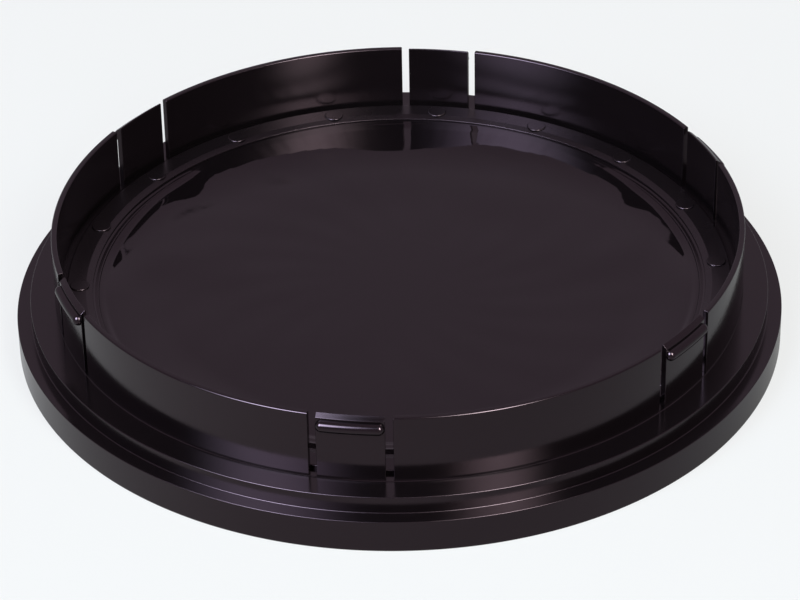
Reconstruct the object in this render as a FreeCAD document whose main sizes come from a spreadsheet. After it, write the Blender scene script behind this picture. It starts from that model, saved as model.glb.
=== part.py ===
import FreeCAD, Part
import math
import os
import Sketcher

# Telescope solar filter: a cap-shaped cell that snaps into the front end of a telescope tube
# It lies with its sun side down: the skirt rim is at height zero and the snap collar points up
# The axis of the filter is the Z axis, and one of the snap fingers is centred on the minus Y side

os.makedirs("parts", exist_ok=True)
doc = FreeCAD.newDocument("telescope_solar_filter")

# Sizes that can each be set alone, in millimetres, degrees or counts
dimensions = [
    # cap moulding, from the outside in
    ("skirt_radius", 97.0),
    ("skirt_height", 8.5),
    ("skirt_wall", 2.0),
    ("shoulder_width", 3.6),
    ("step_height", 4.5),
    ("flange_thickness", 2.0),
    ("flange_width", 6.4),
    ("collar_height", 18.0),
    ("collar_wall", 1.5),
    ("lip_width", 9.5),
    # bevelled edges of the cap moulding
    ("skirt_bevel", 0.5),
    ("step_bevel", 0.5),
    ("collar_foot_bevel", 0.6),
    ("collar_top_bevel", 0.3),
    # snap fingers
    ("finger_count", 6),
    ("finger_half_angle", 5.4),
    ("finger_top_round", 1.3),
    ("slot_width", 1.9),
    ("slot_floor", 0.2),
    ("bead_radius", 1.5),
    ("bead_outset", 0.15),
    ("bead_drop", 3.0),
    ("bead_end_inset", 0.3),
    ("bead_end_bevel", 0.9),
    # retaining ring with its raised round weld spots
    ("ring_collar_clearance", 1.3),
    ("ring_width", 6.6),
    ("ring_thickness", 1.0),
    ("ring_bevel", 0.4),
    ("ring_foot_width", 1.5),
    ("weld_count", 18),
    ("weld_radius", 2.5),
    ("weld_height", 0.5),
    # solar film
    ("film_edge_clearance", 0.3),
    ("film_thickness", 0.2),
    ("film_slope_width", 16.0),
    ("film_dip", 2.0),
]

# Sizes and heights that follow from the ones above
derived = [
    ("flange_top", "skirt_height + step_height"),
    ("flange_underside", "flange_top - flange_thickness"),
    ("outer_ring_underside", "skirt_height - flange_thickness"),
    ("collar_top", "flange_top + collar_height"),
    ("skirt_inner_radius", "skirt_radius - skirt_wall"),
    ("step_radius", "skirt_radius - shoulder_width"),
    ("step_inner_radius", "step_radius - skirt_wall"),
    ("collar_radius", "step_radius - flange_width"),
    ("collar_inner_radius", "collar_radius - collar_wall"),
    ("lip_radius", "collar_inner_radius - lip_width"),
    ("ring_height", "film_thickness + ring_thickness"),
    ("ring_outer_radius", "collar_inner_radius - ring_collar_clearance"),
    ("ring_inner_radius", "ring_outer_radius - ring_width"),
    ("ring_foot_radius", "ring_outer_radius - ring_foot_width"),
    ("weld_circle_radius", "ring_outer_radius - ring_width / 2"),
    ("film_radius", "ring_foot_radius - film_edge_clearance"),
    ("bead_height", "collar_top - bead_drop"),
    ("bead_centre_radius", "collar_radius + bead_outset"),
    ("bead_half_angle", "finger_half_angle - bead_end_inset / bead_centre_radius * 180 / pi"),
    ("slot_angle", "finger_half_angle + slot_width / collar_radius * 90 / pi"),
    ("film_flat_radius", "lip_radius - film_slope_width"),
]

sheet = doc.addObject("Spreadsheet::Sheet", "dimensions")
row = 0
for name, value in dimensions:
    row += 1
    sheet.set(f"A{row}", name)
    sheet.set(f"B{row}", str(value))
    sheet.setAlias(f"B{row}", name)
for name, formula in derived:
    row += 1
    sheet.set(f"A{row}", name)
    sheet.set(f"B{row}", "=" + formula)
    sheet.setAlias(f"B{row}", name)
doc.recompute()

names = {name for name, value in dimensions + derived}


def value_of(formula):
    return float(sheet.evalExpression(formula))


def bound(formula):
    # the same formula with every named size pointed at the sheet
    return " ".join("dimensions." + word if word in names else word for word in formula.split(" "))


def new_body(name):
    body = doc.addObject("PartDesign::Body", name)
    body.Label = name
    return body


def new_sketch(body, name, role, height="0"):
    # role names one of the three planes through the origin of the body
    plane = next(item for item in body.Origin.OriginFeatures if item.Role == role)
    sketch = body.newObject("Sketcher::SketchObject", name)
    sketch.AttachmentSupport = [(plane, "")]
    sketch.MapMode = "FlatFace"
    sketch.setExpression("AttachmentOffset.Base.z", bound(height))
    return sketch


def pin_point(sketch, line, end, across, up):
    # holds one point of the sketch at two sizes from the sheet
    for kind, formula, axis in (("DistanceX", across, -2), ("DistanceY", up, -1)):
        if formula == "0":
            sketch.addConstraint(Sketcher.Constraint("PointOnObject", line, end, axis))
            continue
        number = sketch.addConstraint(Sketcher.Constraint(kind, -1, 1, line, end, value_of(formula)))
        sketch.setExpression(f"Constraints[{number}]", bound(formula))


def draw_outline(sketch, corners):
    # closed outline of straight lines through corners given as (across, up)
    points = [FreeCAD.Vector(value_of(across), value_of(up), 0) for across, up in corners]
    for index, point in enumerate(points):
        sketch.addGeometry(Part.LineSegment(point, points[(index + 1) % len(points)]), False)
    for index in range(len(points)):
        sketch.addConstraint(Sketcher.Constraint("Coincident", index, 2, (index + 1) % len(points), 1))
    for index, (across, up) in enumerate(corners):
        pin_point(sketch, index, 1, across, up)


def draw_circle(sketch, across, up, radius):
    centre = FreeCAD.Vector(value_of(across), value_of(up), 0)
    circle = sketch.addGeometry(
        Part.Circle(centre, FreeCAD.Vector(0, 0, 1), value_of(radius)), False
    )
    pin_point(sketch, circle, 3, across, up)
    number = sketch.addConstraint(Sketcher.Constraint("Radius", circle, value_of(radius)))
    sketch.setExpression(f"Constraints[{number}]", bound(radius))


def turn_profile(body, name, sketch, angle="360"):
    feature = body.newObject("PartDesign::Revolution", name)
    feature.Profile = sketch
    feature.ReferenceAxis = (sketch, ["V_Axis"])
    feature.Midplane = True
    feature.setExpression("Angle", bound(angle))
    doc.recompute()
    return feature


def pad_up(body, name, sketch, length):
    feature = body.newObject("PartDesign::Pad", name)
    feature.Profile = sketch
    feature.setExpression("Length", bound(length))
    doc.recompute()
    return feature


def pocket_up(body, name, sketch, length):
    # cuts upwards from the plane of the sketch
    feature = body.newObject("PartDesign::Pocket", name)
    feature.Profile = sketch
    feature.Reversed = True
    feature.setExpression("Length", bound(length))
    doc.recompute()
    return feature


def repeat_round_axis(body, name, features, count):
    axis = next(item for item in body.Origin.OriginFeatures if item.Role == "Z_Axis")
    pattern = body.newObject("PartDesign::PolarPattern", name)
    pattern.Originals = features
    pattern.Axis = (axis, [""])
    pattern.Angle = 360
    pattern.setExpression("Occurrences", bound(count))
    body.Tip = pattern
    doc.recompute()
    return pattern


def circle_of(edge):
    # the circle that the edge follows, or nothing for any other curve
    try:
        curve = edge.Curve
    except TypeError:
        return None
    return curve if isinstance(curve, Part.Circle) else None


def circular_edges(shape, radius, height, wanted=None):
    # names of the level circular edges of this radius at this height
    found = []
    for number, edge in enumerate(shape.Edges, start=1):
        circle = circle_of(edge)
        if circle is None or abs(circle.Radius - value_of(radius)) > 1e-4:
            continue
        if abs(circle.Center.z - value_of(height)) > 1e-4:
            continue
        if wanted is None or wanted(edge):
            found.append(f"Edge{number}")
    return found


def upright_circles(shape, radius):
    # names of the circular edges of this radius whose axis lies level
    found = []
    for number, edge in enumerate(shape.Edges, start=1):
        circle = circle_of(edge)
        if circle is None or abs(circle.Radius - value_of(radius)) > 1e-4:
            continue
        if abs(circle.Axis.z) < 1e-4:
            found.append(f"Edge{number}")
    return found


def bevel_edges(body, name, size, edges):
    base = body.Tip
    feature = body.newObject("PartDesign::Chamfer", name)
    feature.Base = (base, edges)
    feature.setExpression("Size", bound(size))
    doc.recompute()


def round_edges(body, name, size, edges):
    base = body.Tip
    feature = body.newObject("PartDesign::Fillet", name)
    feature.Base = (base, edges)
    feature.setExpression("Radius", bound(size))
    doc.recompute()


def on_finger(edge):
    # true for the short arcs at the top of the snap fingers
    return edge.Length < math.radians(3 * value_of("finger_half_angle")) * edge.Curve.Radius


def between_fingers(edge):
    return not on_finger(edge)


# Cap moulding: stepped shell of even wall with a thin snap collar on top
cell = new_body("cell_body")
shell_profile = new_sketch(cell, "shell_profile", "XZ_Plane")
draw_outline(shell_profile, [
    ("skirt_radius", "0"),
    ("skirt_radius", "skirt_height"),
    ("step_radius", "skirt_height"),
    ("step_radius", "flange_top"),
    ("collar_radius", "flange_top"),
    ("collar_radius", "collar_top"),
    ("collar_inner_radius", "collar_top"),
    ("collar_inner_radius", "flange_top"),
    ("lip_radius", "flange_top"),
    ("lip_radius", "flange_underside"),
    ("step_inner_radius", "flange_underside"),
    ("step_inner_radius", "outer_ring_underside"),
    ("skirt_inner_radius", "outer_ring_underside"),
    ("skirt_inner_radius", "0"),
])
turn_profile(cell, "stepped_shell", shell_profile)

# Small bevels that run all the way round
for name, radius, height, size in [
    ("skirt_top_edge", "skirt_radius", "skirt_height", "skirt_bevel"),
    ("step_top_edge", "step_radius", "flange_top", "step_bevel"),
    ("collar_foot", "collar_radius", "flange_top", "collar_foot_bevel"),
]:
    bevel_edges(cell, name, size, circular_edges(cell.Tip.Shape, radius, height))

# Two open slots free each snap finger nearly down to the flange
slot_features = []
for name, turn in (("slot_left", "slot_angle"), ("slot_right", "0 - slot_angle")):
    slot_sketch = new_sketch(cell, name + "_outline", "XY_Plane", "flange_top + slot_floor")
    slot_sketch.AttachmentOffset = FreeCAD.Placement(
        FreeCAD.Vector(0, 0, value_of("flange_top + slot_floor")),
        FreeCAD.Rotation(FreeCAD.Vector(0, 0, 1), value_of(turn)),
    )
    slot_sketch.setExpression("AttachmentOffset.Rotation.Angle", bound(turn))
    draw_outline(slot_sketch, [
        ("0 - slot_width / 2", "collar_inner_radius - collar_wall / 2"),
        ("slot_width / 2", "collar_inner_radius - collar_wall / 2"),
        ("slot_width / 2", "collar_radius + collar_wall"),
        ("0 - slot_width / 2", "collar_radius + collar_wall"),
    ])
    slot_features.append(pocket_up(cell, name, slot_sketch, "2 * collar_height"))
repeat_round_axis(cell, "finger_slots", slot_features, "finger_count")

# Bevelled top of the collar, with a rounded lead-in on each finger
edges = circular_edges(cell.Tip.Shape, "collar_radius", "collar_top", on_finger)
round_edges(cell, "finger_lead_in", "finger_top_round", edges)
edges = circular_edges(cell.Tip.Shape, "collar_radius", "collar_top", between_fingers)
bevel_edges(cell, "collar_outer_top", "collar_top_bevel", edges)
edges = circular_edges(cell.Tip.Shape, "collar_inner_radius", "collar_top", between_fingers)
bevel_edges(cell, "collar_inner_top", "collar_top_bevel", edges)

# Half-round snap bead across the outside of each finger, bevelled at its two ends
bead_profile = new_sketch(cell, "bead_profile", "YZ_Plane")
draw_circle(bead_profile, "bead_centre_radius", "bead_height", "bead_radius")
bead = turn_profile(cell, "bead", bead_profile, "2 * bead_half_angle")
repeat_round_axis(cell, "finger_beads", [bead], "finger_count")
bevel_edges(cell, "bead_ends", "bead_end_bevel", upright_circles(cell.Tip.Shape, "bead_radius"))

# Retaining ring: it lies on the film, and its outer foot is welded to the flange around the film
ring = new_body("retaining_ring")
ring.setExpression("Placement.Base.z", bound("flange_top"))
ring_profile = new_sketch(ring, "ring_profile", "XZ_Plane")
draw_outline(ring_profile, [
    ("ring_inner_radius", "film_thickness"),
    ("ring_foot_radius", "film_thickness"),
    ("ring_foot_radius", "0"),
    ("ring_outer_radius", "0"),
    ("ring_outer_radius", "ring_height"),
    ("ring_inner_radius", "ring_height"),
])
turn_profile(ring, "footed_ring", ring_profile)
inner_edge = circular_edges(ring.Tip.Shape, "ring_inner_radius", "ring_height")
bevel_edges(ring, "inner_edge", "ring_bevel", inner_edge)
weld_outline = new_sketch(ring, "weld_outline", "XY_Plane", "ring_height")
draw_circle(weld_outline, "0", "weld_circle_radius", "weld_radius")
weld = pad_up(ring, "weld_spot", weld_outline, "weld_height")
repeat_round_axis(ring, "weld_spots", [weld], "weld_count")

# Solar film: thin disc clamped on the lip, sloping down to a slack flat middle
film = new_body("solar_film")
film.setExpression("Placement.Base.z", bound("flange_top - film_dip"))
film_profile = new_sketch(film, "film_profile", "XZ_Plane")
draw_outline(film_profile, [
    ("0", "0"),
    ("film_flat_radius", "0"),
    ("lip_radius", "film_dip"),
    ("film_radius", "film_dip"),
    ("film_radius", "film_dip + film_thickness"),
    ("lip_radius", "film_dip + film_thickness"),
    ("film_flat_radius", "film_thickness"),
    ("0", "film_thickness"),
])
turn_profile(film, "film_disc", film_profile)

doc.recompute()

for item in doc.Objects:
    if "Invalid" in item.State or "Error" in item.State:
        raise RuntimeError(f"{item.Name} did not build: {item.State}")

for body in (cell, ring, film):
    if body.Shape.isNull() or not body.Shape.isValid():
        raise RuntimeError(f"{body.Label} has no valid shape")
    body.Shape.exportStep(f"parts/{body.Label}.step")
    box = body.Shape.BoundBox
    print(body.Label, len(body.Shape.Solids), round(body.Shape.Volume, 1), box)
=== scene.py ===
import math

import bpy
from mathutils import Matrix, Vector


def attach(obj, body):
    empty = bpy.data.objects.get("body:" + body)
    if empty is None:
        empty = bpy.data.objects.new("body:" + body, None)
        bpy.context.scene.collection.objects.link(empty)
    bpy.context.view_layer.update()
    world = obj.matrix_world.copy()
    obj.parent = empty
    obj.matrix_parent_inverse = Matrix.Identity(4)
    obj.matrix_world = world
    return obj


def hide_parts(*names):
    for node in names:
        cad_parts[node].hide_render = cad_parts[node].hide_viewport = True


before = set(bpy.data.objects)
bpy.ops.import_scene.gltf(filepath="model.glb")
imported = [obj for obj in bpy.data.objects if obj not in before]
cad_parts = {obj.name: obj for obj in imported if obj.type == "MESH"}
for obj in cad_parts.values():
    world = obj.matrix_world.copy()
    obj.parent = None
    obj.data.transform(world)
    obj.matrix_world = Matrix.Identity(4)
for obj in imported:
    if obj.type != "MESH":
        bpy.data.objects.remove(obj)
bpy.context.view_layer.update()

# Sizes of the filter, in millimetres, as in the frame
SKIRT_RADIUS = 97.0
SKIRT_HEIGHT = 8.5
WALL = 2.0
STEP_RADIUS = 93.4
FLANGE_TOP = 13.0
COLLAR_RADIUS = 87.0
COLLAR_INNER = COLLAR_RADIUS - 1.5
COLLAR_TOP = 31.0
LIP_RADIUS = 76.0
SLOT_FLOOR = FLANGE_TOP + 0.2
SLOT_WIDTH = 1.9
FINGER_COUNT = 6
FINGER_HALF_ANGLE = math.radians(5.4)
FINGER_TOP_WIDTH = 0.35
LEAD_IN_DROP = 0.9
BEAD_RADIUS = 1.5
BEAD_CENTRE = COLLAR_RADIUS + 0.15
BEAD_HEIGHT = COLLAR_TOP - 3.0
FILM_THICKNESS = 0.2
RING_OUTER = COLLAR_INNER - 1.3
RING_INNER = 77.6
RING_FOOT = RING_OUTER - 1.5
RING_UNDERSIDE = FLANGE_TOP + FILM_THICKNESS
RING_TOP = RING_UNDERSIDE + 1.0
WELD_COUNT = 18
WELD_CIRCLE = 80.9
WELD_RADIUS = 2.5
WELD_HEIGHT = 0.32
MM = 0.001

# Film: its clamped top, how far it may dip, and the levels of its slack middle and far side
FILM_RADIUS = RING_FOOT - 0.3
FILM_TOP = FLANGE_TOP + FILM_THICKNESS
FILM_DIP = 2.0
FILM_SAG = 1.95
FILM_LOWEST = FLANGE_TOP - FILM_DIP + FILM_THICKNESS + 0.01
FAR_LEVEL = FILM_TOP - 1.65
CREASE_START = 0.3
CREASE_END = 3.2
CREASE_SLOPE = math.radians(7.5)
STEEPEST_SLOPE = math.radians(16.0)
OUTER_SLOPE = math.radians(3.0)
FAR_SIDE_STOPS = 55.0

# Steps of the turned meshes
TURN_STEPS = 480
FINGER_STEPS = 18
WALL_STEPS = 60
FILM_STEPS = 540

# Camera, from a fit to the rims: azimuth from the minus Y side, elevation, distance, roll and aim
CAMERA_AZIMUTH = math.radians(7.97)
CAMERA_ELEVATION = math.radians(33.22)
CAMERA_DISTANCE = 904.43
CAMERA_FIT_HEIGHT = 13.05
CAMERA_ROLL = math.radians(-1.085)
CAMERA_AIM_HEIGHT = 6.1
CAMERA_AIM_ASIDE = 0.17
FOCAL_PIXELS = 3559.4
PICTURE_WIDTH = 800.0
SENSOR_WIDTH = 36.0
CAMERA_PLACE = Vector((
    CAMERA_DISTANCE * math.sin(CAMERA_AZIMUTH) * math.cos(CAMERA_ELEVATION),
    -CAMERA_DISTANCE * math.cos(CAMERA_AZIMUTH) * math.cos(CAMERA_ELEVATION),
    CAMERA_DISTANCE * math.sin(CAMERA_ELEVATION) + CAMERA_FIT_HEIGHT,
))
FAR_SIDE = math.radians(90.0) + CAMERA_AZIMUTH

# Gloss of all three plastics
PLASTIC_SPECULAR = 0.36
PLASTIC_TINT = (1.0, 0.69, 0.82, 1)

# Floor: paper tones, share of its glow, and a painted pool of light in its reflection, brightest near a spot
# beside the filter and fading away from it
PAPER_DARK = (0.175, 0.175, 0.175, 1)
PAPER_LIGHT = (0.19, 0.19, 0.19, 1)
GLOW_SHARE = 0.75
PAINTED_POOL_SPOT = (-0.08, -0.15, 0.0)
PAINTED_POOL_NEAR = 0.77
PAINTED_POOL_FAR = 0.37


def make_object(name, verts, faces, normals=None):
    """A smooth-shaded mesh object from points in millimetres, with its corner normals if given."""
    mesh = bpy.data.meshes.new(name)
    mesh.from_pydata([tuple(c * MM for c in v) for v in verts], [], faces)
    mesh.polygons.foreach_set("use_smooth", [True] * len(mesh.polygons))
    if normals is not None:
        mesh.normals_split_custom_set([tuple(n) for n in normals])
    mesh.update()
    obj = bpy.data.objects.new(name, mesh)
    bpy.context.scene.collection.objects.link(obj)
    return obj


class Builder:
    """Collects points, faces and corner normals of one piece."""

    def __init__(self):
        self.verts = []
        self.faces = []
        self.normals = []

    def points(self, rows):
        start = len(self.verts)
        self.verts.extend(rows)
        return start

    def face(self, corners, normals):
        self.faces.append(tuple(corners))
        self.normals.extend(normals)

    def object(self, name):
        return make_object(name, self.verts, self.faces, self.normals)


def rounded_outline(corners, steps=5):
    """Closed outline in (radius, height) from corners (r, z, round), anticlockwise.
    Gives the points and, for each edge, the two outward normals at its ends."""
    points = []
    edge_normals = []
    count = len(corners)
    arcs = []
    for i in range(count):
        p = Vector(corners[i][:2])
        a = (Vector(corners[i - 1][:2]) - p).normalized()
        b = (Vector(corners[(i + 1) % count][:2]) - p).normalized()
        size = corners[i][2]
        if size <= 0:
            arcs.append([(p, None)])
            continue
        half = a.angle(b) / 2
        reach = size / math.tan(half)
        start = p + a * reach
        end = p + b * reach
        centre = p + (a + b).normalized() * (size / math.sin(half))
        n0 = (start - centre).normalized()
        n1 = (end - centre).normalized()
        turn = a.x * b.y - a.y * b.x
        sign = 1.0 if turn < 0 else -1.0
        sweep = n0.angle(n1)
        direction = 1.0 if n0.x * n1.y - n0.y * n1.x > 0 else -1.0
        row = []
        for k in range(steps + 1):
            t = direction * sweep * k / steps
            n = Vector((n0.x * math.cos(t) - n0.y * math.sin(t), n0.x * math.sin(t) + n0.y * math.cos(t)))
            row.append((centre + n * size, n * sign))
        arcs.append(row)
    for i in range(count):
        row = arcs[i]
        for k in range(len(row) - 1):
            points.append(row[k][0])
            edge_normals.append((row[k][1], row[k + 1][1]))
        points.append(row[-1][0])
        following = arcs[(i + 1) % count][0][0]
        along = (following - row[-1][0]).normalized()
        flat = Vector((along.y, -along.x))
        edge_normals.append((flat, flat))
    return points, edge_normals


def at(r, z, angle):
    return (r * math.cos(angle), r * math.sin(angle), z)


def direction_at(n, angle):
    return (n.x * math.cos(angle), n.x * math.sin(angle), n.y)


def turn_full(build, points, normals, steps):
    """Turns a closed outline once round the axis."""
    count = len(points)
    start = build.points([at(p.x, p.y, 2 * math.pi * j / steps) for j in range(steps) for p in points])
    for j in range(steps):
        a0 = 2 * math.pi * j / steps
        a1 = 2 * math.pi * (j + 1) / steps
        k = (j + 1) % steps
        for i in range(count):
            m = (i + 1) % count
            n0, n1 = normals[i]
            build.face(
                (start + j * count + i, start + k * count + i, start + k * count + m, start + j * count + m),
                (direction_at(n0, a0), direction_at(n0, a1), direction_at(n1, a1), direction_at(n1, a0)),
            )


def turn_part(build, points, normals, angle0, angle1, steps, edge=0.12):
    """Turns a closed outline from angle0 to angle1 and closes both ends with a softened edge."""
    count = len(points)
    mean_radius = sum(p.x for p in points) / count
    ease = edge / mean_radius
    angles = [angle0 + ease + (angle1 - angle0 - 2 * ease) * j / steps for j in range(steps + 1)]
    start = build.points([at(p.x, p.y, a) for a in angles for p in points])
    for j in range(steps):
        a0, a1 = angles[j], angles[j + 1]
        for i in range(count):
            m = (i + 1) % count
            n0, n1 = normals[i]
            build.face(
                (start + j * count + i, start + (j + 1) * count + i,
                 start + (j + 1) * count + m, start + j * count + m),
                (direction_at(n0, a0), direction_at(n0, a1), direction_at(n1, a1), direction_at(n1, a0)),
            )
    inset = []
    for i in range(count):
        n = (normals[i - 1][1] + normals[i][0])
        n = n.normalized() if n.length > 1e-6 else normals[i][0]
        inset.append(points[i] - n * edge)
    for row, angle, sign in ((0, angle0, -1.0), (steps, angle1, 1.0)):
        cap = build.points([at(p.x, p.y, angle) for p in inset])
        outward = (-math.sin(angle) * sign, math.cos(angle) * sign, 0.0)
        for i in range(count):
            m = (i + 1) % count
            n0, n1 = normals[i]
            a = angles[row]
            corners = (start + row * count + i, start + row * count + m, cap + m, cap + i)
            shades = (direction_at(n0, a), direction_at(n1, a), outward, outward)
            if sign > 0:
                corners = corners[::-1]
                shades = shades[::-1]
            build.face(corners, shades)
        end = [cap + i for i in range(count)]
        if sign > 0:
            end = end[::-1]
        build.face(end, [outward] * count)


def cell_piece():
    """Cell: stepped shell, snap collar with six slotted fingers, and their beads."""
    build = Builder()
    shell, shell_normals = rounded_outline([
        (SKIRT_RADIUS, 0.0, 0.35),
        (SKIRT_RADIUS, SKIRT_HEIGHT, 0.16),
        (STEP_RADIUS, SKIRT_HEIGHT, 0.25),
        (STEP_RADIUS, FLANGE_TOP, 0.22),
        (COLLAR_RADIUS + 0.2, FLANGE_TOP, 0.0),
        (COLLAR_RADIUS + 0.1, SLOT_FLOOR, 0.0),
        (COLLAR_INNER, SLOT_FLOOR, 0.0),
        (COLLAR_INNER, FLANGE_TOP, 0.0),
        (LIP_RADIUS, FLANGE_TOP, 0.4),
        (LIP_RADIUS, FLANGE_TOP - WALL, 0.3),
        (STEP_RADIUS - WALL, FLANGE_TOP - WALL, 0.0),
        (STEP_RADIUS - WALL, SKIRT_HEIGHT - WALL, 0.3),
        (SKIRT_RADIUS - WALL, SKIRT_HEIGHT - WALL, 0.0),
        (SKIRT_RADIUS - WALL, 0.0, 0.35),
    ])
    turn_full(build, shell, shell_normals, TURN_STEPS)
    slot = SLOT_WIDTH / COLLAR_RADIUS
    pitch = 2 * math.pi / FINGER_COUNT
    for k in range(FINGER_COUNT):
        centre = -math.pi / 2 + k * pitch
        finger, finger_normals = rounded_outline([
            (COLLAR_INNER, COLLAR_TOP, 0.2),
            (COLLAR_INNER, SLOT_FLOOR, 0.0),
            (COLLAR_RADIUS + 0.1, SLOT_FLOOR, 0.0),
            (COLLAR_RADIUS, SLOT_FLOOR + 0.5, 0.4),
            (COLLAR_RADIUS, COLLAR_TOP - LEAD_IN_DROP, 0.2),
            (COLLAR_INNER + FINGER_TOP_WIDTH, COLLAR_TOP, 0.3),
        ], steps=6)
        finger_start = centre - FINGER_HALF_ANGLE
        finger_end = centre + FINGER_HALF_ANGLE
        turn_part(build, finger, finger_normals, finger_start, finger_end, FINGER_STEPS)
        wall, wall_normals = rounded_outline([
            (COLLAR_INNER, COLLAR_TOP, 0.35),
            (COLLAR_INNER, SLOT_FLOOR, 0.0),
            (COLLAR_RADIUS + 0.1, SLOT_FLOOR, 0.0),
            (COLLAR_RADIUS, SLOT_FLOOR + 0.5, 0.4),
            (COLLAR_RADIUS, COLLAR_TOP, 0.4),
        ])
        wall_end = centre + pitch - FINGER_HALF_ANGLE - slot
        turn_part(build, wall, wall_normals, finger_end + slot, wall_end, WALL_STEPS)
        bead(build, centre)
    return build.object("cell_shell")


def bead(build, centre):
    """Half-round ridge with ball ends across the outside of one finger."""
    half = FINGER_HALF_ANGLE - BEAD_RADIUS / BEAD_CENTRE
    around = 22
    rings = []
    for k in range(9):
        lean = math.pi / 2 * k / 8
        rings.append((-half, -math.sin(math.pi / 2 - lean), math.cos(math.pi / 2 - lean)))
    for k in range(1, 16):
        rings.append((-half + 2 * half * k / 16, 0.0, 1.0))
    for k in range(9):
        lean = math.pi / 2 * k / 8
        rings.append((half, math.sin(lean), math.cos(lean)))
    rows = []
    for offset, side, shrink in rings:
        angle = centre + offset
        out = (math.cos(angle), math.sin(angle))
        tangent = (-math.sin(angle), math.cos(angle))
        row = []
        for i in range(around):
            turn = 2 * math.pi * i / around
            a = math.cos(turn) * shrink
            n = (out[0] * a + tangent[0] * side, out[1] * a + tangent[1] * side, math.sin(turn) * shrink)
            p = (
                out[0] * BEAD_CENTRE + n[0] * BEAD_RADIUS,
                out[1] * BEAD_CENTRE + n[1] * BEAD_RADIUS,
                BEAD_HEIGHT + n[2] * BEAD_RADIUS,
            )
            row.append((p, n))
        rows.append(row)
    start = build.points([p for row in rows for p, n in row])
    for j in range(len(rows) - 1):
        for i in range(around):
            m = (i + 1) % around
            build.face(
                (start + j * around + i, start + (j + 1) * around + i,
                 start + (j + 1) * around + m, start + j * around + m),
                (rows[j][i][1], rows[j + 1][i][1], rows[j + 1][m][1], rows[j][m][1]),
            )


def ring_piece():
    """Retaining ring with its foot and its raised weld spots."""
    build = Builder()
    outline, normals = rounded_outline([
        (RING_OUTER, FLANGE_TOP, 0.0),
        (RING_OUTER, RING_TOP, 0.3),
        (RING_INNER + 1.7, RING_TOP, 0.4),
        (RING_INNER, RING_TOP - 0.5, 0.12),
        (RING_INNER, RING_UNDERSIDE, 0.1),
        (RING_FOOT, RING_UNDERSIDE, 0.0),
        (RING_FOOT, FLANGE_TOP, 0.0),
    ])
    turn_full(build, outline, normals, TURN_STEPS)
    for k in range(WELD_COUNT):
        angle = -math.pi / 2 + 2 * math.pi * k / WELD_COUNT
        disc(build, at(WELD_CIRCLE, RING_TOP, angle), WELD_RADIUS, WELD_HEIGHT, 0.26)
    return build.object("ring_shell")


def disc(build, place, radius, height, edge):
    """Flat round disc with a rounded top edge."""
    x, y, z = place
    steps = 40
    rows = [((radius, 0.0), (1.0, 0.0))]
    for k in range(6):
        t = math.pi / 2 * k / 5
        rows.append((
            (radius - edge + edge * math.cos(t), height - edge + edge * math.sin(t)),
            (math.cos(t), math.sin(t)),
        ))
    rows.append(((0.02, height), (0.0, 1.0)))
    pts = []
    shades = []
    for (r, h), (nr, nz) in rows:
        for i in range(steps):
            t = 2 * math.pi * i / steps
            pts.append((x + r * math.cos(t), y + r * math.sin(t), z + h))
            shades.append((nr * math.cos(t), nr * math.sin(t), nz))
    start = build.points(pts)
    for j in range(len(rows) - 1):
        for i in range(steps):
            m = (i + 1) % steps
            ids = (j * steps + i, j * steps + m, (j + 1) * steps + m, (j + 1) * steps + i)
            build.face([start + q for q in ids], [shades[q] for q in ids])
    top = [(len(rows) - 1) * steps + i for i in range(steps)]
    build.face([start + q for q in top], [(0.0, 0.0, 1.0)] * steps)


def ramp_down(value, start, width):
    """Zero outside the start, one once the width has been crossed, going inwards."""
    return max(0.0, min(1.0, (start - value) / width))


def smooth(value, low, high):
    t = max(0.0, min(1.0, (value - low) / (high - low)))
    return t * t * (3 - 2 * t)


def far_edge(turn):
    """Radius up to which the slack film mirrors the collar, by degrees from the far side."""
    reach = 63.4 + 6.9 * (1 - math.exp(-((turn / 17.0) ** 2))) + 0.045 * max(0.0, abs(turn) - 30.0)
    reach -= 3.4 * math.exp(-(((turn + 50.5) / 4.4) ** 2))
    reach -= 3.2 * math.exp(-(((turn - 59.5) / 3.6) ** 2))
    reach -= 1.0 * math.exp(-(((turn + 26.0) / 5.0) ** 2))
    reach += 0.3 * math.sin(math.radians(turn) * 23.0)
    return reach


def rim_hit(point, slope, angle):
    """Height at which a ray from the camera, mirrored by the sloping film, meets the collar."""
    radial = Vector((math.cos(angle), math.sin(angle), 0.0))
    normal = Vector((-radial.x * math.tan(slope), -radial.y * math.tan(slope), 1.0)).normalized()
    ray = (point - CAMERA_PLACE).normalized()
    ray = ray - normal * (2 * ray.dot(normal))
    a = ray.x ** 2 + ray.y ** 2
    b = point.x * ray.x + point.y * ray.y
    c = point.x ** 2 + point.y ** 2 - COLLAR_INNER ** 2
    travel = (-b + math.sqrt(b * b - a * c)) / a
    return point.z + travel * ray.z


def mirror_slope(point, angle, radius, reach):
    """Slope at which the film mirrors the collar's rim, less steep outside reach."""
    low, high = 0.0, STEEPEST_SLOPE
    for _ in range(8):
        middle = (low + high) / 2
        if rim_hit(point, middle, angle) > COLLAR_TOP:
            high = middle
        else:
            low = middle
    margin = max(-9.0, min(0.5, 0.9 * (reach - radius)))
    slope = max(0.0, high + math.radians(margin))
    if radius > reach + 0.6:
        slope = min(slope, OUTER_SLOPE)
    return slope


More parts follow.
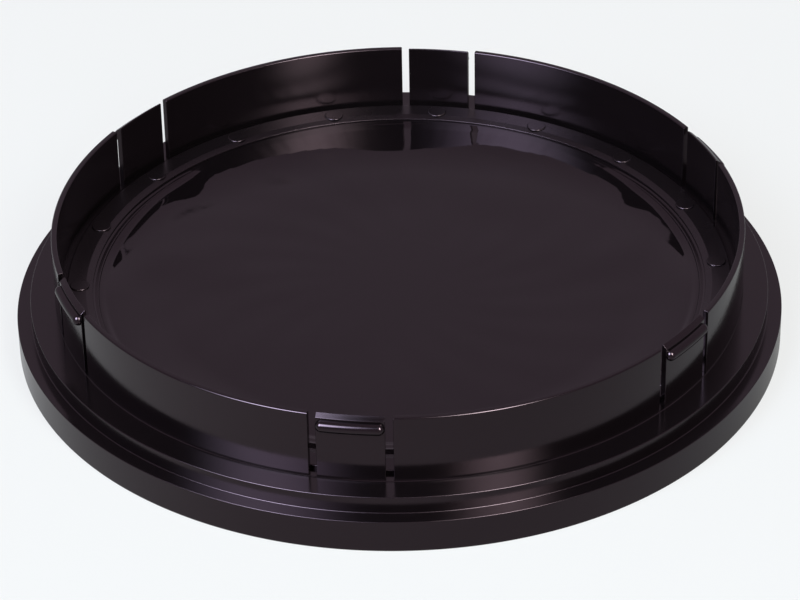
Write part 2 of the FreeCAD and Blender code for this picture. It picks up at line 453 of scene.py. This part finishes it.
def far_profile(angle, radii):
    """Heights of the film on the far side; the crease by the ring is solved so that it ends at FAR_LEVEL."""
    turn = math.degrees(FAR_SIDE - angle)
    turn = (turn + 180.0) % 360.0 - 180.0
    reach = far_edge(turn)
    crease = math.tan(CREASE_SLOPE)
    for _ in range(3):
        height = FILM_TOP
        heights = {}
        last = radii[0]
        for radius in radii:
            step = last - radius
            if radius > RING_INNER - CREASE_START:
                fall = 0.0
            elif radius > RING_INNER - CREASE_END:
                fall = crease
            else:
                fall = math.tan(mirror_slope(Vector(at(radius, height, angle)), angle, radius, reach))
            height -= fall * step
            heights[radius] = height
            last = radius
            if radius < FAR_SIDE_STOPS:
                break
        crease = max(0.01, crease + (height - FAR_LEVEL) / 3.0)
    return heights


def near_height(radius, angle):
    """Height of the film on the near side and flanks: two creases, then a slack slope."""
    turn = abs((math.degrees(FAR_SIDE - angle) + 360.0) % 360.0 - 180.0)
    front = 1.0 - smooth(turn, 22.0, 42.0)
    first = ramp_down(radius, RING_INNER - 0.2, 0.7 + 4.8 * front)
    second = ramp_down(radius, RING_INNER - 2.4 - 4.7 * front, 0.8 + 0.4 * front)
    slack = smooth(LIP_RADIUS - radius, 0.0, 17.0)
    first_share = 0.26 + 0.54 * front
    return FILM_TOP - FILM_SAG * (first_share * first + 0.19 * second + (0.81 - first_share) * slack)


def film_radii():
    """Radii of the rings of points in the film, close together near its edge."""
    radii = [FILM_RADIUS, 80.0, 77.7, 77.4]
    radii += [77.0 - 0.6 * k for k in range(38)]
    radii += [54.0 - 3.6 * k for k in range(15)]
    return [r for r in radii if r > 0.5] + [0.4]


def film_height(radius, angle, far, share):
    """Height of the film's top, with this share of the far side's shape, a flat middle and a ripple."""
    height = near_height(radius, angle)
    if far is not None:
        height = height * (1 - share) + far.get(radius, FAR_LEVEL) * share
    outer = smooth(radius, 34.0, 56.0)
    height = height * outer + (FILM_TOP - FILM_SAG) * (1 - outer)
    ripple = 0.03 * math.sin(7 * angle + radius * 0.12) + 0.02 * math.sin(19 * angle - radius * 0.2)
    height += ripple * smooth(70.0 - radius, 0.0, 6.0) * smooth(radius, 10.0, 40.0)
    return max(FILM_LOWEST, height)


def film_piece():
    """Film disc: a top and an underside of the same form, closed at the edge and in the middle."""
    steps = FILM_STEPS
    radii = film_radii()
    columns = []
    for j in range(steps):
        angle = 2 * math.pi * j / steps
        turn = abs((math.degrees(FAR_SIDE - angle) + 180.0) % 360.0 - 180.0)
        share = 1.0 - smooth(turn, 74.0, 94.0)
        far = far_profile(angle, radii) if share > 0 else None
        columns.append([film_height(radius, angle, far, share) for radius in radii])
    verts = []
    for i, radius in enumerate(radii):
        for j in range(steps):
            verts.append(at(radius, columns[j][i], 2 * math.pi * j / steps))
    under = len(verts)
    verts += [(x, y, z - FILM_THICKNESS) for x, y, z in verts]
    faces = []
    rows = len(radii)
    for i in range(rows - 1):
        for j in range(steps):
            k = (j + 1) % steps
            a, b, c, d = i * steps + j, i * steps + k, (i + 1) * steps + k, (i + 1) * steps + j
            faces.append((a, b, c, d))
            faces.append((d + under, c + under, b + under, a + under))
    last = (rows - 1) * steps
    faces.append([last + j for j in range(steps)])
    faces.append([last + j + under for j in range(steps)][::-1])
    for j in range(steps):
        k = (j + 1) % steps
        faces.append((j + under, k + under, k, j))
    return make_object("film_sheet", verts, faces)


# Materials

def node_material(name):
    material = bpy.data.materials.new(name)
    material.use_nodes = True
    tree = material.node_tree
    tree.nodes.clear()
    output = tree.nodes.new("ShaderNodeOutputMaterial")
    shader = tree.nodes.new("ShaderNodeBsdfPrincipled")
    tree.links.new(shader.outputs["BSDF"], output.inputs["Surface"])
    return material, tree, shader


def noise(tree, scale, detail=3.0, roughness=0.5):
    coords = tree.nodes.new("ShaderNodeTexCoord")
    texture = tree.nodes.new("ShaderNodeTexNoise")
    texture.inputs["Scale"].default_value = scale
    texture.inputs["Detail"].default_value = detail
    texture.inputs["Roughness"].default_value = roughness
    tree.links.new(coords.outputs["Object"], texture.inputs["Vector"])
    return texture


def ramp(tree, source, low, high, low_colour, high_colour):
    node = tree.nodes.new("ShaderNodeValToRGB")
    node.color_ramp.elements[0].position = low
    node.color_ramp.elements[1].position = high
    node.color_ramp.elements[0].color = low_colour
    node.color_ramp.elements[1].color = high_colour
    tree.links.new(source, node.inputs["Fac"])
    return node


def map_range(tree, source, start, end, low, high):
    """Socket that goes from low to high while the source goes from start to end."""
    node = tree.nodes.new("ShaderNodeMapRange")
    node.inputs["From Min"].default_value = start
    node.inputs["From Max"].default_value = end
    node.inputs["To Min"].default_value = low
    node.inputs["To Max"].default_value = high
    tree.links.new(source, node.inputs["Value"])
    return node.outputs["Result"]


def calculate(tree, operation, first, second):
    """Socket with the result of one operation on a socket and a second socket or number."""
    node = tree.nodes.new("ShaderNodeMath")
    node.operation = operation
    tree.links.new(first, node.inputs[0])
    if isinstance(second, float):
        node.inputs[1].default_value = second
    else:
        tree.links.new(second, node.inputs[1])
    return node.outputs["Value"]


def changed_length(tree, vector, operation, values):
    """Socket with the length of a vector after one operation with fixed values."""
    change = tree.nodes.new("ShaderNodeVectorMath")
    change.operation = operation
    change.inputs[1].default_value = values
    tree.links.new(vector, change.inputs[0])
    length = tree.nodes.new("ShaderNodeVectorMath")
    length.operation = "LENGTH"
    tree.links.new(change.outputs["Vector"], length.inputs[0])
    return length.outputs["Value"]


def grey(level):
    return (level, level, level, 1)


def black_gloss(name, colour, rough_low, rough_high, rough_foot, rough_inside, bump, bump_scale):
    """Black plastic: near-black base, uneven gloss that is duller on the flange and inside."""
    material, tree, shader = node_material(name)
    tone = noise(tree, 18.0, 4.0)
    darker = (colour[0] * 0.8, colour[1] * 0.8, colour[2] * 0.8, 1)
    base = ramp(tree, tone.outputs["Fac"], 0.3, 0.7, darker, (*colour, 1))
    tree.links.new(base.outputs["Color"], shader.inputs["Base Color"])
    sheen = noise(tree, 60.0, 3.0)
    rough = ramp(tree, sheen.outputs["Fac"], 0.3, 0.75, grey(rough_low), grey(rough_high))
    coords = tree.nodes.new("ShaderNodeTexCoord")
    split = tree.nodes.new("ShaderNodeSeparateXYZ")
    tree.links.new(coords.outputs["Object"], split.inputs["Vector"])
    near_foot = map_range(tree, split.outputs["Z"], 17.0 * MM, 13.0 * MM, 0.0, rough_foot)
    radius = changed_length(tree, coords.outputs["Object"], "MULTIPLY", (1.0, 1.0, 0.0))
    inside = map_range(tree, radius, 86.4 * MM, 85.8 * MM, 0.0, rough_inside)
    extra = calculate(tree, "MAXIMUM", near_foot, inside)
    duller = calculate(tree, "ADD", rough.outputs["Color"], extra)
    tree.links.new(duller, shader.inputs["Roughness"])
    shader.inputs["Specular IOR Level"].default_value = PLASTIC_SPECULAR
    shader.inputs["Specular Tint"].default_value = PLASTIC_TINT
    fine = noise(tree, bump_scale, 2.0)
    relief = tree.nodes.new("ShaderNodeBump")
    relief.inputs["Strength"].default_value = bump
    relief.inputs["Distance"].default_value = 0.0002
    tree.links.new(fine.outputs["Fac"], relief.inputs["Height"])
    tree.links.new(relief.outputs["Normal"], shader.inputs["Normal"])
    return material


cell_plastic = black_gloss(
    "cell_plastic_gloss", (0.0012, 0.0008, 0.0009), rough_low=0.12, rough_high=0.17,
    rough_foot=0.03, rough_inside=0.08, bump=0.04, bump_scale=260.0,
)
ring_plastic = black_gloss(
    "ring_plastic_gloss", (0.0014, 0.0010, 0.0011), rough_low=0.24, rough_high=0.32,
    rough_foot=0.0, rough_inside=0.0, bump=0.05, bump_scale=300.0,
)
film_polymer = black_gloss(
    "film_polymer_gloss", (0.0010, 0.0007, 0.0008), rough_low=0.03, rough_high=0.06,
    rough_foot=0.0, rough_inside=0.0, bump=0.0, bump_scale=90.0,
)

cell = cell_piece()
ring = ring_piece()
film = film_piece()
for piece, node, slot, material in (
    (cell, "cell_body", "cell_plastic", cell_plastic),
    (ring, "retaining_ring", "ring_plastic", ring_plastic),
    (film, "solar_film", "black_film", film_polymer),
):
    piece.data.materials.append(material)
    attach(piece, "root")
    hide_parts(node)

# Floor and room

def floor_paint():
    """Grey paper that also glows, to the camera evenly and in reflections as a painted pool of light that
    fades away from a spot beside the filter.
    """
    material, tree, shader = node_material("floor_white")
    shader.inputs["Roughness"].default_value = 1.0
    shader.inputs["Specular IOR Level"].default_value = 0.0
    grain = noise(tree, 3.0)
    paper = ramp(tree, grain.outputs["Fac"], 0.3, 0.7, PAPER_DARK, PAPER_LIGHT)
    tree.links.new(paper.outputs["Color"], shader.inputs["Base Color"])
    glow = tree.nodes.new("ShaderNodeEmission")
    glow.inputs["Color"].default_value = (1, 1, 1, 1)
    path = tree.nodes.new("ShaderNodeLightPath")
    seen = calculate(tree, "MAXIMUM", path.outputs["Is Camera Ray"], path.outputs["Is Glossy Ray"])
    seen = calculate(tree, "MAXIMUM", seen, path.outputs["Is Transmission Ray"])
    share = calculate(tree, "MULTIPLY", seen, GLOW_SHARE)
    place = tree.nodes.new("ShaderNodeTexCoord")
    # Painted pool of light: the floor's glow seen in reflections is strongest near a spot beside the filter
    # and weaker further out
    reach = changed_length(tree, place.outputs["Object"], "SUBTRACT", PAINTED_POOL_SPOT)
    painted_pool_strength = map_range(tree, reach, 0.02, 0.26, PAINTED_POOL_NEAR, PAINTED_POOL_FAR)
    strength = tree.nodes.new("ShaderNodeMix")
    strength.data_type = "FLOAT"
    strength.inputs["B"].default_value = 1.0
    tree.links.new(path.outputs["Is Camera Ray"], strength.inputs["Factor"])
    tree.links.new(painted_pool_strength, strength.inputs["A"])
    tree.links.new(strength.outputs["Result"], glow.inputs["Strength"])
    mix = tree.nodes.new("ShaderNodeMixShader")
    tree.links.new(share, mix.inputs["Fac"])
    tree.links.new(shader.outputs["BSDF"], mix.inputs[1])
    tree.links.new(glow.outputs["Emission"], mix.inputs[2])
    output = next(n for n in tree.nodes if n.type == "OUTPUT_MATERIAL")
    tree.links.new(mix.outputs["Shader"], output.inputs["Surface"])
    return material


def white_floor():
    """Floor that looks white, with part of the filter's shadow left on it."""
    bpy.ops.mesh.primitive_plane_add(size=8.0, location=(0, 0, 0))
    floor = bpy.context.object
    floor.name = "floor"
    floor.data.materials.append(floor_paint())


def dim_room():
    """World: an even dim light with a faint pink tone."""
    world = bpy.data.worlds.new("room")
    bpy.context.scene.world = world
    world.use_nodes = True
    background = world.node_tree.nodes["Background"]
    background.inputs["Color"].default_value = (0.45, 0.38, 0.45, 1)
    background.inputs["Strength"].default_value = 1.0


def toward(azimuth, elevation):
    """Unit direction from the filter; azimuth is measured from the camera's side, positive to its right."""
    turn = azimuth + CAMERA_AZIMUTH
    return Vector((
        math.sin(turn) * math.cos(elevation),
        -math.cos(turn) * math.cos(elevation),
        math.sin(elevation),
    ))


def soft_box(name, azimuth, elevation, distance, wide, high, radiance, colour):
    """Glowing panel that faces the filter and fades out towards its edges."""
    bpy.ops.mesh.primitive_plane_add(size=2.0)
    panel = bpy.context.object
    panel.name = name
    panel.scale = (wide / 2, high / 2, 1)
    panel.location = toward(math.radians(azimuth), math.radians(elevation)) * distance
    panel.rotation_euler = (-panel.location).to_track_quat("Z", "Y").to_euler()
    material = bpy.data.materials.new(name + "_glow")
    material.use_nodes = True
    tree = material.node_tree
    tree.nodes.clear()
    output = tree.nodes.new("ShaderNodeOutputMaterial")
    glow = tree.nodes.new("ShaderNodeEmission")
    glow.inputs["Color"].default_value = (*colour, 1)
    coords = tree.nodes.new("ShaderNodeTexCoord")
    fade = tree.nodes.new("ShaderNodeTexGradient")
    fade.gradient_type = "SPHERICAL"
    level = tree.nodes.new("ShaderNodeMapRange")
    level.interpolation_type = "SMOOTHSTEP"
    level.inputs["To Max"].default_value = radiance
    tree.links.new(coords.outputs["Object"], fade.inputs["Vector"])
    tree.links.new(fade.outputs["Fac"], level.inputs["Value"])
    tree.links.new(level.outputs["Result"], glow.inputs["Strength"])
    tree.links.new(glow.outputs["Emission"], output.inputs["Surface"])
    panel.data.materials.append(material)


def fitted_camera():
    """Camera in the photograph's place."""
    data = bpy.data.cameras.new("camera")
    camera = bpy.data.objects.new("camera", data)
    bpy.context.scene.collection.objects.link(camera)
    bpy.context.scene.camera = camera
    data.sensor_width = SENSOR_WIDTH
    data.lens = FOCAL_PIXELS / PICTURE_WIDTH * SENSOR_WIDTH
    data.clip_end = 20.0
    data.clip_start = 0.05
    aside = Vector((math.cos(CAMERA_AZIMUTH), math.sin(CAMERA_AZIMUTH), 0)) * CAMERA_AIM_ASIDE * MM
    aim = Vector((0.0, 0.0, CAMERA_AIM_HEIGHT)) * MM + aside
    camera.location = CAMERA_PLACE * MM
    forward = (aim - camera.location).normalized()
    right = forward.cross(Vector((0, 0, 1))).normalized()
    up = right.cross(forward)
    side = right * math.cos(CAMERA_ROLL) + up * math.sin(CAMERA_ROLL)
    top = up * math.cos(CAMERA_ROLL) - right * math.sin(CAMERA_ROLL)
    camera.matrix_world = Matrix((
        (side.x, top.x, -forward.x, camera.location.x),
        (side.y, top.y, -forward.y, camera.location.y),
        (side.z, top.z, -forward.z, camera.location.z),
        (0, 0, 0, 1),
    ))


white_floor()
dim_room()
soft_box("left_panel", -43, 42, 2.0, 1.9, 2.1, 54.0, (0.70, 0.84, 1.0))
soft_box("right_panel", 31.0, 42, 2.0, 1.1, 2.1, 58.0, (0.89, 1.0, 0.93))
fitted_camera()
bpy.context.scene.view_settings.view_transform = "Standard"
